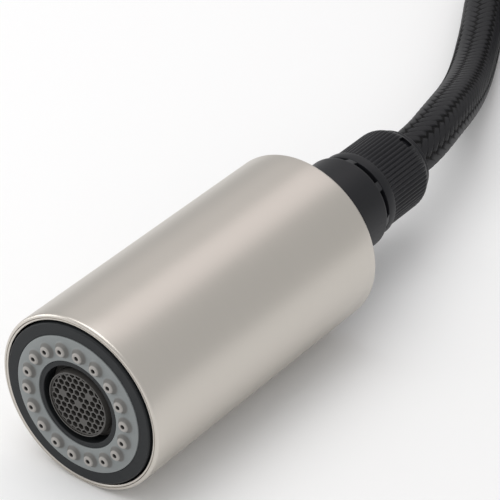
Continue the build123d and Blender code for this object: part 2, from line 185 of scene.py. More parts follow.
class Graph:
    """Node tree of one material, with its Principled shader."""

    def __init__(self, name: str) -> None:
        """Make the material.

        Args:
            name: the material's name.
        """
        self.material = bpy.data.materials.new(name)
        self.material.use_nodes = True
        self.tree = self.material.node_tree
        self.shader = self.tree.nodes["Principled BSDF"]

    def node(
        self,
        kind: str,
        settings: dict[str, object] | None = None,
        inputs: dict[str | int, object] | None = None,
        output: str | int = 0,
    ) -> Value:
        """Add one node.

        Args:
            kind: the node's type.
            settings: its properties, set before its sockets.
            inputs: the values or links of its sockets.
            output: which output to return.

        Returns:
            The chosen output.
        """
        made = self.tree.nodes.new(kind)
        for key, setting in (settings or {}).items():
            setattr(made, key, setting)
        for key, given in (inputs or {}).items():
            if isinstance(given, Value):
                self.tree.links.new(given.socket, made.inputs[key])
            else:
                made.inputs[key].default_value = given
        return Value(self, made.outputs[output])

    def set(self, **sockets: object) -> None:
        """Set or link the shader's sockets, with underscores for spaces in their names.

        Args:
            sockets: the values or links.
        """
        for name, given in sockets.items():
            socket = self.shader.inputs[name.replace("_", " ")]
            if isinstance(given, Value):
                self.tree.links.new(given.socket, socket)
            else:
                socket.default_value = given

    def place(self, scale: Point = (1.0, 1.0, 1.0)) -> Value:
        """Object coordinates through a Mapping node.

        Args:
            scale: stretch on each axis.

        Returns:
            The coordinates.
        """
        point = self.node("ShaderNodeTexCoord", output="Object")
        return self.node("ShaderNodeMapping", {}, {"Vector": point, "Scale": scale})

    def axes(self, vector: Value) -> tuple[Value, Value, Value]:
        """Split a vector.

        Args:
            vector: the vector.

        Returns:
            Its X, Y and Z.
        """
        split = self.node("ShaderNodeSeparateXYZ", {}, {0: vector})
        sockets = split.socket.node.outputs
        return Value(self, sockets[0]), Value(self, sockets[1]), Value(self, sockets[2])

    def noise(self, vector: Value, scale: float, detail: float = 2.0, rough: float = 0.5) -> Value:
        """Noise from 0 to 1.

        Args:
            vector: where it is read.
            scale: cells per unit.
            detail: octaves.
            rough: strength of the finer octaves.

        Returns:
            The noise.
        """
        sockets = {"Vector": vector, "Scale": scale, "Detail": detail, "Roughness": rough}
        return self.node("ShaderNodeTexNoise", {}, sockets)

    def mix(self, share: Value | float, first: Value | Colour, second: Value | Colour) -> Value:
        """Blend two colours.

        Args:
            share: how much of the second shows, 0 to 1.
            first: the first colour.
            second: the second colour.

        Returns:
            The blended colour.
        """
        pair = [c if isinstance(c, Value) else (*c, 1.0) for c in (first, second)]
        return self.node(
            "ShaderNodeMix",
            {"data_type": "RGBA", "clamp_factor": True},
            {0: share, 6: pair[0], 7: pair[1]},
            output=2,
        )

    def bump(self, height: Value, distance: float, strength: float = 1.0) -> Value:
        """Surface relief.

        Args:
            height: relief from 0 to 1.
            distance: depth of the full relief in metres.
            strength: how much of it shows.

        Returns:
            The normal.
        """
        sockets = {"Height": height, "Distance": distance, "Strength": strength}
        return self.node("ShaderNodeBump", {}, sockets)


# ------------------------------------------------------------------ finishes
@dataclass(frozen=True)
class BrushedNickel:
    """Satin nickel plate, brushed round the sleeve."""

    light: Colour = (0.630, 0.592, 0.545)
    shade: Colour = (0.575, 0.545, 0.498)
    roughness: float = 0.36
    grain_depth: float = 0.0000035
    fine_marks: Point = (60.0, 5200.0, 60.0)
    coarse_marks: Point = (25.0, 900.0, 25.0)
    fine_share: float = 0.7
    grain_share: float = 0.55
    grain_roughness: float = 0.10
    cloud_roughness: float = 0.06

    def make(self) -> bpy.types.Material:
        """Build the material.

        Returns:
            The material.
        """
        graph = Graph("brushed_nickel")
        fine = graph.noise(graph.place(scale=self.fine_marks), 1.0, 3.0, 0.6)
        coarse = graph.noise(graph.place(scale=self.coarse_marks), 1.0, 2.0)
        cloud = graph.noise(graph.place(), 38.0, 3.0)
        grain = fine * self.fine_share + coarse * (1.0 - self.fine_share)
        tone = grain * self.grain_share + cloud * (1.0 - self.grain_share)
        lowest = self.roughness - (self.grain_roughness + self.cloud_roughness) / 2
        graph.set(
            Base_Color=graph.mix(tone, self.shade, self.light),
            Metallic=1.0,
            Roughness=grain * self.grain_roughness + cloud * self.cloud_roughness + lowest,
            Normal=graph.bump(grain, self.grain_depth, 0.6),
        )
        return graph.material


@dataclass(frozen=True)
class Moulded:
    """Injection-moulded plastic or rubber, with a fine spark-eroded grain and faint clouding."""

    name: str
    light: Colour
    shade: Colour
    roughness: float
    grain_size: float = 0.00025
    grain_depth: float = 0.00001
    specular: float = 0.5
    cloud_share: float = 0.7
    grain_roughness: float = 0.10
    scuff_roughness: float = 0.06
    scuff_stretch: Point = (1.0, 6.0, 3.0)

    def make(self) -> bpy.types.Material:
        """Build the material.

        Returns:
            The material.
        """
        graph = Graph(self.name)
        point = graph.place()
        grain = graph.noise(point, 1.0 / self.grain_size, 3.0, 0.55)
        cloud = graph.noise(point, 90.0, 3.0)
        scuffs = graph.noise(graph.place(scale=self.scuff_stretch), 260.0, 4.0).ramp(0.58, 0.72)
        tone = cloud * self.cloud_share + grain * (1.0 - self.cloud_share)
        graph.set(
            Base_Color=graph.mix(tone, self.shade, self.light),
            Roughness=grain * self.grain_roughness + scuffs * self.scuff_roughness + (self.roughness - 0.06),
            Normal=graph.bump(grain, self.grain_depth, 0.5),
            Specular_IOR_Level=self.specular,
        )
        return graph.material


@dataclass(frozen=True)
class Silicone:
    """Grey silicone. Its nozzles carry painted light: painted shade darkens their flanks and the inside of
    their holes, and a painted highlight makes their tips paler.
    """

    ring: Colour = (0.240, 0.256, 0.256)
    ring_shade: Colour = (0.212, 0.229, 0.230)
    # The tip colour is a painted highlight; the flank and bore colours are painted shade.
    tip: Colour = (0.355, 0.338, 0.318)
    shaded_flank: Colour = (0.118, 0.110, 0.101)
    bore_shade: Colour = (0.012, 0.012, 0.012)
    bore_radius: float = 0.66
    # Where each tone fades in: depths behind the tips for the painted highlight, and heights above the mat
    # for the painted shade on the flanks.
    tip_highlight_fade: tuple[float, float] = (0.50, 0.12)
    flank_shade_fade: tuple[float, float] = (0.01, 0.40)
    bore_fade: float = 0.10
    flank_shade_share: float = 0.80
    roughness: float = 0.46
    grain_roughness: float = 0.12
    grain_depth: float = 0.000008

    def make(self) -> bpy.types.Material:
        """Build the material.

        Returns:
            The material.
        """
        graph = Graph("grey_silicone")
        point = graph.place()
        across, along, height = graph.axes(point)
        up = height - AXIS_HEIGHT
        ahead = along * -1.0
        mat, tip = -(FRONT_RIM + MAT_FRONT * MM), -(FRONT_RIM + NOZZLE_TIP * MM)
        # Painted highlight: the nozzle tips are painted paler than the rest of the nozzle.
        tip_highlight = ahead.ramp(tip - self.tip_highlight_fade[0] * MM, tip - self.tip_highlight_fade[1] * MM)
        # Painted shade: the nozzle flanks are painted darker above the mat.
        shaded_flank = ahead.ramp(mat + self.flank_shade_fade[0] * MM, mat + self.flank_shade_fade[1] * MM)
        grain = graph.noise(point, 3500.0, 3.0, 0.6)
        cloud = graph.noise(point, 140.0, 2.0)
        ring = graph.mix(cloud, self.ring_shade, self.ring)
        nozzle = graph.mix(tip_highlight, graph.mix(shaded_flank * self.flank_shade_share, ring, self.shaded_flank), self.tip)
        # Distance from the nearest nozzle's axis, which paints shade inside its hole.
        circle = NOZZLE_CIRCLE * MM
        turn = up.angle(across) * (NOZZLE_COUNT / (2.0 * math.pi)) - NOZZLE_PHASE * NOZZLE_COUNT / 360.0 + 0.5
        sideways = (turn % 1.0 - 0.5) * (2.0 * math.pi * circle / NOZZLE_COUNT)
        outward = (across * across + up * up) ** 0.5 - circle
        away = (sideways * sideways + outward * outward) ** 0.5
        inside = 1.0 - away.ramp((self.bore_radius - self.bore_fade) * MM, self.bore_radius * MM)
        graph.set(
            # The base colour carries the painted shade in the holes and on the flanks, and the painted
            # highlight on the tips.
            Base_Color=graph.mix(inside, nozzle, self.bore_shade),
            Roughness=grain * self.grain_roughness + self.roughness,
            Normal=graph.bump(grain, self.grain_depth, 0.5),
        )
        return graph.material


@dataclass(frozen=True)
class Machined:
    """Bare metal with fine marks."""

    name: str
    light: Colour
    shade: Colour
    roughness: float
    marks_per_metre: float = 700.0
    marks_depth: float = 0.000006
    marks_roughness: float = 0.12
    stain_share: float = 0.6
    stain_roughness: float = 0.08

    def make(self) -> bpy.types.Material:
        """Build the material.

        Returns:
            The material.
        """
        graph = Graph(self.name)
        scale = (self.marks_per_metre, self.marks_per_metre, self.marks_per_metre)
        marks = graph.noise(graph.place(scale=scale), 1.0, 3.0, 0.6)
        stain = graph.noise(graph.place(), 120.0, 4.0)
        tone = stain * self.stain_share + marks * (1.0 - self.stain_share)
        graph.set(
            Base_Color=graph.mix(tone, self.shade, self.light),
            Metallic=1.0,
            Roughness=marks * self.marks_roughness + stain * self.stain_roughness + (self.roughness - 0.08),
            Normal=graph.bump(marks, self.marks_depth, 0.6),
        )
        return graph.material


@dataclass(frozen=True)
class BraidedNylon:
    """Braid of flat strand bundles, four over and four under, that stand in columns along the hose. Its
    colour carries painted light: a painted highlight on the strands' crowns, and painted shade on their
    flanks and in the gaps between them.

    The UV map counts strands: U round the hose and V along it.
    """

    # The crown colour is a painted highlight; the flank and gap colours are painted shade.
    lit_crown: Colour = (0.0170, 0.0170, 0.0190)
    shaded_flank: Colour = (0.0116, 0.0116, 0.0134)
    gap: Colour = (0.0006, 0.0006, 0.0007)
    filaments: float = 6.0
    # Shares of a bundle's float over which it comes up, and of its half width over which its edge falls.
    rise: float = 0.12
    dive: tuple[float, float] = (0.02, 0.47)
    edge: tuple[float, float] = (0.52, 1.0)
    relief_depth: float = 0.00036

    def _bundle(self, graph: Graph, across: Value, other: Value, under: float) -> tuple[Value, Value, Value]:
        """One family of strand bundles.

        Args:
            graph: the material's graph.
            across: the coordinate across the bundles of this family.
            other: the same for the other family, which runs along these.
            under: where in the repeat this family comes up.

        Returns:
            Where it shows, its height, and its filaments.
        """
        index = across.floor()
        place = across - index
        run = (other + index - under) % BRAID_REPEAT
        shows = run < BRAID_REPEAT / 2
        float_share = run / (BRAID_REPEAT / 2)
        rise = float_share.ramp(0.0, self.rise) * (1.0 - float_share.ramp(1.0 - self.rise, 1.0))
        leaving = float_share.ramp(1.0 - self.dive[1], 1.0 - self.dive[0])
        tucked = 1.0 - float_share.ramp(*self.dive) * (1.0 - leaving)
        edge = (place * 2.0 - 1.0).abs().ramp(*self.edge)
        fine = (place * (2.0 * math.pi * self.filaments)).sine() * 0.5 + 0.5
        height = rise * (1.0 - edge * (tucked * 0.92 + 0.05))
        return shows, height, fine

    def make(self) -> bpy.types.Material:
        """Build the material.

        Returns:
            The material.
        """
        graph = Graph("braided_nylon")
        uv = graph.node("ShaderNodeUVMap", {"uv_map": "strands"})
        u, v, _ = graph.axes(uv)
        right, left = u - v, u + v
        shows, right_height, right_fine = self._bundle(graph, right, left, 0.0)
        _, left_height, left_fine = self._bundle(graph, left, right, BRAID_REPEAT / 2)
        height = right_height * shows + left_height * (1.0 - shows)
        fine = right_fine * shows + left_fine * (1.0 - shows)
        wear = graph.noise(graph.place(), 2600.0, 3.0)
        # Painted highlight and shade: strands are painted lighter where they stand high and darker on their
        # flanks.
        body = graph.mix(height.ramp(0.6, 1.0) * (fine * 0.35 + 0.65), self.shaded_flank, self.lit_crown)
        relief = height * 0.92 + fine * height * 0.04 + wear * 0.04
        graph.set(
            # Painted shade: the gaps between strands are painted near black.
            Base_Color=graph.mix(1.0 - height.ramp(0.15, 0.75), body, self.gap),
            Roughness=0.58 - height * 0.10 + wear * 0.06,
            Normal=graph.bump(relief, self.relief_depth, 0.8),
            Specular_IOR_Level=0.17,
        )
        return graph.material


@dataclass(frozen=True)
class WovenStrap:
    """Black hook-and-loop strap: a fine plain weave with stitched edges."""

    light: Colour = (0.030, 0.030, 0.033)
    shade: Colour = (0.008, 0.008, 0.009)
    thread: float = 0.0007
    weave_share: float = 0.6
    weave_depth: float = 0.00018

    def make(self) -> bpy.types.Material:
        """Build the material.

        Returns:
            The material.
        """
        graph = Graph("strap_fabric")
        uv = graph.node("ShaderNodeUVMap", {"uv_map": "weave"})
        u, v, _ = graph.axes(uv)
        turn = math.pi / self.thread
        weave = (u * turn).sine() * (v * turn).sine() * 0.5 + 0.5
        fuzz = graph.noise(graph.place(), 1800.0, 4.0, 0.7)
        relief = weave * self.weave_share + fuzz * (1.0 - self.weave_share)
        graph.set(
            Base_Color=graph.mix(relief, self.shade, self.light),
            Roughness=fuzz * 0.15 + 0.7,
            Normal=graph.bump(relief, self.weave_depth, 0.8),
            Sheen_Weight=0.25,
        )
        return graph.material


@dataclass(frozen=True)
class PaleFloor:
    """Matt white sweep."""

    light: Colour = (0.93, 0.93, 0.93)
    shade: Colour = (0.91, 0.91, 0.91)

    def make(self) -> bpy.types.Material:
        """Build the material.

        Returns:
            The material.
        """
        graph = Graph("pale_floor")
        cloud = graph.noise(graph.place(), 2.0, 2.0)
        graph.set(Base_Color=graph.mix(cloud, self.shade, self.light), Roughness=0.9, Specular_IOR_Level=0.1)
        return graph.material


class Finishes:
    """Every finish of the object, made once."""

    def __init__(self) -> None:
        """Build the materials."""
        self.nickel = BrushedNickel().make()
        self.black = Moulded(
            "black_plastic", (0.0115, 0.0118, 0.0145), (0.007, 0.0073, 0.0092), 0.46, specular=0.28,
        ).make()
        self.face_black = Moulded(
            "face_plastic", (0.0150, 0.0170, 0.0185), (0.0105, 0.0122, 0.0138), 0.52, specular=0.28,
        ).make()
        self.body = Moulded("body_plastic", (0.055, 0.055, 0.058), (0.035, 0.035, 0.038), 0.48).make()
        self.silicone = Silicone().make()
        self.rubber = Moulded(
            "black_rubber", (0.014, 0.014, 0.014), (0.008, 0.008, 0.008), 0.62, specular=0.35,
        ).make()
        self.aerator = Moulded("aerator_plastic", (0.078, 0.073, 0.068), (0.052, 0.049, 0.046), 0.46).make()
        self.white = Moulded("white_plastic", (0.78, 0.77, 0.74), (0.68, 0.67, 0.64), 0.42).make()
        self.brass = Machined("brass", (0.83, 0.62, 0.30), (0.66, 0.47, 0.20), 0.30).make()
        self.stainless = Machined("stainless", (0.66, 0.65, 0.63), (0.54, 0.53, 0.51), 0.30).make()
        self.wire = Machined("spring_steel", (0.60, 0.60, 0.60), (0.42, 0.42, 0.43), 0.28).make()
        self.braid = BraidedNylon().make()
        self.strap = WovenStrap().make()


def dress(node: str, material: bpy.types.Material) -> None:
    """Give a frame node its finish.

    Args:
        node: the node's name.
        material: its finish.
    """
    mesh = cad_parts[node].data
    mesh.materials.clear()
    mesh.materials.append(material)
    LOG.info("dressed %s in %s", node, material.name)


# ------------------------------------------------------------------ mesh helpers
def as_piece(
    bm: bmesh.types.BMesh,
    name: str,
    material: bpy.types.Material,
    body: Body,
    replaces: tuple[str, ...],
    sharp: float,
) -> bpy.types.Object:
    """Turn a finished bmesh into a piece of the object.

    Args:
        bm: the mesh, in place in the frame; it is freed here.
        name: the piece's name.
        material: its finish.
        body: the body that it rides on.
        replaces: the frame nodes that it stands for.
        sharp: edges that turn by more than this many degrees stay sharp.

    Returns:
        The piece.
    """
    bmesh.ops.recalc_face_normals(bm, faces=bm.faces)
    mesh = bpy.data.meshes.new(name)
    bm.to_mesh(mesh)
    bm.free()
    mesh.shade_smooth()
    mesh.set_sharp_from_angle(angle=math.radians(sharp))
    mesh.materials.append(material)
    piece = bpy.data.objects.new(name, mesh)
    bpy.context.scene.collection.objects.link(piece)
    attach(piece, body.value)
    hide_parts(*replaces)
    LOG.info("built %s with %d faces", name, len(mesh.polygons))
    return piece


def add_lathe(
    bm: bmesh.types.BMesh,
    profile: list[tuple[float, float]],
    steps: int,
    centre: tuple[float, float] = (0.0, 0.0),
) -> None:
    """Spin a profile about a line along Y.

    Args:
        bm: the mesh that it is added to.
        profile: radius and station of each corner in millimetres. Stations count back from the front rim.
        steps: faces round the turn.
        centre: X and Z of the line from the head's axis, in millimetres.
    """
    x, z = centre[0] * MM, AXIS_HEIGHT + centre[1] * MM
    corners = [bm.verts.new((x + radius * MM, FRONT_RIM + station * MM, z)) for radius, station in profile]
    edges = [bm.edges.new(pair) for pair in zip(corners, corners[1:])]
    if profile[0][0] > 0.0:
        edges.append(bm.edges.new((corners[-1], corners[0])))
    bmesh.ops.spin(
        bm, geom=corners + edges, cent=(x, 0.0, z), axis=(0.0, 1.0, 0.0),
        angle=2.0 * math.pi, steps=steps, use_merge=True,
    )


def soften_ring(bm: bmesh.types.BMesh, radius: float, station: float, size: float, segments: int = 4) -> None:
    """Round the edge ring at one corner of a lathed shape about the head's axis.

    Args:
        bm: the mesh.
        radius: the corner's radius in millimetres.
        station: its station in millimetres.
        size: the rounding in millimetres.
        segments: how many faces the rounding has.
    """
    centre = Vector((0.0, FRONT_RIM + station * MM, AXIS_HEIGHT))

    def on_ring(vert: bmesh.types.BMVert) -> bool:
        """Whether a vertex is at that corner.

        Args:
            vert: the vertex.

        Returns:
            True where it is.
        """
        offset = vert.co - centre
        return abs(offset.y) < 1e-6 and abs(math.hypot(offset.x, offset.z) - radius * MM) < 1e-6

    ring = [edge for edge in bm.edges if on_ring(edge.verts[0]) and on_ring(edge.verts[1])]
    bmesh.ops.bevel(
        bm, geom=ring, offset=size * MM, offset_type="OFFSET", affect="EDGES",
        segments=segments, profile=0.5, material=-1, clamp_overlap=True,
    )


# ------------------------------------------------------------------ casing
@dataclass
class Casing:
    """Nickel sleeve, with the docking neck and the ring that closes the hose nut."""

    radius: float = 25.0
    length: float = 93.5
    wall: float = 1.3
    lip: float = 23.3
    seam: float = 24.0
    seam_width: float = 0.1
    seam_depth: float = 0.3
    lip_depth: float = 1.6
    inside_start: float = 2.0
    shoulder_bore: float = 11.2
    shoulder: float = 1.5
    steps: int = 288
    lengths: int = 14

    def build(self, finishes: Finishes) -> None:
        """Spin the sleeve and dress the plastic behind it.

        Args:
            finishes: the object's finishes.
        """
        inside = self.radius - self.wall
        profile = [
            (self.lip, 0.0), (self.seam - self.seam_width, 0.0), (self.seam, self.seam_depth),
            (self.seam + self.seam_width, 0.0), (self.radius, 0.0),
        ]
        profile += [(self.radius, self.length * step / self.lengths) for step in range(1, self.lengths)]
        profile += [
            (self.radius, self.length), (self.shoulder_bore, self.length),
            (self.shoulder_bore, self.length - self.shoulder), (inside, self.length - self.shoulder),
            (inside, self.inside_start), (self.lip, self.lip_depth),
        ]
        bm = bmesh.new()
        add_lathe(bm, profile, self.steps)
        soften_ring(bm, self.radius, 0.0, 0.8, 5)
        soften_ring(bm, self.lip, 0.0, 0.3, 3)
        soften_ring(bm, self.radius, self.length, 1.0, 5)
        as_piece(bm, "sleeve_shell", finishes.nickel, Body.HEAD, ("sleeve",), sharp=40.0)
        dress("docking_neck", finishes.black)
        dress("nut_lip", finishes.black)


@dataclass
class HoseNut:
    """Ribbed hose nut: smooth flange, soft ribs that fade into its rounded rear, three snap windows."""

    ribs: int = 60
    rib_steps: int = 8
    depth: float = 0.42
    sharpness: float = 1.6
    skin: float = 11.6
    groove_start: tuple[float, float] = (120.6, 121.3)
    groove_end: tuple[float, float] = (136.2, 137.3)
    window: tuple[float, float] = (135.3, 137.3)
    window_angles: tuple[float, float, float] = (66.5, 186.5, 306.5)
    window_width: float = 17.0
    window_floor: float = 11.0
    # Radius and station, from the front of the bore over the outside to the rear of the bore. Ribs and
    # windows are cut where the radius is more than skin.
    profile: list[tuple[float, float]] = field(default_factory=lambda: [
        (10.5, 117.0), (12.6, 117.0), (12.85, 117.12), (12.95, 117.4), (12.95, 119.9), (12.88, 120.15),
        (12.35, 120.6), (12.35, 120.8), (12.35, 121.0), (12.35, 121.3), (12.35, 124.0), (12.35, 128.0),
        (12.35, 132.0), (12.35, 135.3), (12.33, 135.8), (12.26, 136.3), (12.12, 136.8), (11.92, 137.3),
        (11.70, 137.75), (11.48, 138.15), (11.25, 138.45), (10.95, 138.6), (8.7, 138.6), (8.7, 130.9),
        (10.5, 130.9),
    ])

    def _faded(self, station: float) -> float:
        """Share of the grooves' full depth at a station.

        Args:
            station: the station in millimetres.

        Returns:
            From 0 to 1.
        """
        rise = (station - self.groove_start[0]) / (self.groove_start[1] - self.groove_start[0])
        fall = (self.groove_end[1] - station) / (self.groove_end[1] - self.groove_end[0])
        return max(0.0, min(1.0, rise, fall))

    def _cut_grooves(self, bm: bmesh.types.BMesh) -> None:
        """Press the grooves between the ribs in.

        Args:
            bm: the lathed nut.
        """
        for vert in bm.verts:
            x, z = vert.co.x, vert.co.z - AXIS_HEIGHT
            radius = math.hypot(x, z)
            share = self._faded((vert.co.y - FRONT_RIM) / MM)
            if radius > self.skin * MM and share > 0.0:
                wave = 0.5 + 0.5 * math.cos(self.ribs * math.atan2(z, x))
                inward = 1.0 - self.depth * MM * share * wave**self.sharpness / radius
                vert.co.x = x * inward
                vert.co.z = AXIS_HEIGHT + z * inward

    def _cut_windows(self, bm: bmesh.types.BMesh) -> None:
        """Sink the snap windows.

        Args:
            bm: the lathed nut.
        """
        chosen = []
        for face in bm.faces:
            middle = face.calc_center_median()
            x, z = middle.x, middle.z - AXIS_HEIGHT
            station = (middle.y - FRONT_RIM) / MM
            angle = math.degrees(math.atan2(z, x)) % 360.0
            near = min(abs((angle - centre + 180.0) % 360.0 - 180.0) for centre in self.window_angles)
            in_window = self.window[0] < station < self.window[1] and near < self.window_width / 2
            if in_window and math.hypot(x, z) > self.skin * MM:
                chosen.append(face)
        made = bmesh.ops.extrude_face_region(bm, geom=chosen)
        for vert in (item for item in made["geom"] if isinstance(item, bmesh.types.BMVert)):
            x, z = vert.co.x, vert.co.z - AXIS_HEIGHT
            sunk = self.window_floor * MM / math.hypot(x, z)
            vert.co.x = x * sunk
            vert.co.z = AXIS_HEIGHT + z * sunk
        bmesh.ops.delete(bm, geom=chosen, context="FACES")

    def build(self, finishes: Finishes) -> None:
        """Spin the nut, then cut its grooves and windows.

        Args:
            finishes: the object's finishes.
        """
        bm = bmesh.new()
        add_lathe(bm, self.profile, self.ribs * self.rib_steps)
        self._cut_windows(bm)
        self._cut_grooves(bm)
        as_piece(bm, "ribbed_nut", finishes.black, Body.HEAD, ("swivel_nut",), sharp=40.0)


# ------------------------------------------------------------------ spray face
@dataclass
class SprayFace:
    """Black face ring, silicone nozzle mat and aerator."""

    mat_inner: float = 12.45
    mat_outer: float = 19.45
    mat_back: float = 1.35
    outer_round: float = 0.25
    inner_round: float = 0.2
    steps: int = 180
    nozzle_steps: int = 28
    # Radius and station along a nozzle, from the bottom of its hole over its tip to inside the mat.
    nozzle: list[tuple[float, float]] = field(default_factory=lambda: [
        (0.0, 0.6), (0.58, 0.5), (0.60, -2.02), (0.65, -2.14), (0.76, -2.19), (0.92, NOZZLE_TIP),
        (1.10, -2.19), (1.25, -2.14), (1.37, -2.03), (1.50, -1.85), (1.70, -1.58), (1.92, -1.30),
        (2.14, -1.06), (2.32, -0.92), (2.47, -0.85), (2.60, -0.815), (2.72, -0.803), (2.74, 0.0),
        (2.74, 1.2), (0.0, 1.2),
    ])

    def build(self, finishes: Finishes) -> None:
        """Build the nozzle mat and dress the face.

        Args:
            finishes: the object's finishes.
        """
        bm = bmesh.new()
        profile = [
            (self.mat_inner, MAT_FRONT), (self.mat_outer, MAT_FRONT),
            (self.mat_outer, self.mat_back), (self.mat_inner, self.mat_back),
        ]
        add_lathe(bm, profile, self.steps)
        soften_ring(bm, self.mat_outer, MAT_FRONT, self.outer_round, 3)
        soften_ring(bm, self.mat_inner, MAT_FRONT, self.inner_round, 3)
        for step in range(NOZZLE_COUNT):
            angle = math.radians(NOZZLE_PHASE + 360.0 * step / NOZZLE_COUNT)
            centre = (NOZZLE_CIRCLE * math.cos(angle), NOZZLE_CIRCLE * math.sin(angle))
            add_lathe(bm, self.nozzle, self.nozzle_steps, centre)
        bmesh.ops.remove_doubles(bm, verts=bm.verts, dist=1e-7)
        as_piece(bm, "nozzle_ring", finishes.silicone, Body.FACE, ("nozzle_mat",), sharp=50.0)
        dress("face_ring", finishes.face_black)
        dress("aerator_housing", finishes.aerator)
        dress("aerator_honeycomb", finishes.aerator)
        dress("aerator_diffuser", finishes.white)
        dress("flow_regulator", finishes.white)
        dress("aerator_gasket", finishes.rubber)
        dress("selector_disc", finishes.body)
        dress("face_seal", finishes.rubber)


@dataclass
class Waterway:
    """What is inside the casing: the moulded body, the non-return valve and the seals."""

    def build(self, finishes: Finishes) -> None:
        """Dress the inner pieces.

        Args:
            finishes: the object's finishes.
        """
        pieces = {
            "inner_body": finishes.body,
            "shoulder_gasket": finishes.rubber,
            "pivot_screw": finishes.stainless,
            "port_seal": finishes.rubber,
            "port_spring": finishes.wire,
            "valve_body": finishes.white,
            "valve_poppet": finishes.white,
            "valve_spring": finishes.wire,
            "valve_seal": finishes.rubber,
            "inlet_washer": finishes.rubber,
            "inlet_screen": finishes.stainless,
            "swivel_nipple": finishes.brass,
            "head_ferrule": finishes.stainless,
        }
        for node, material in pieces.items():
            dress(node, material)


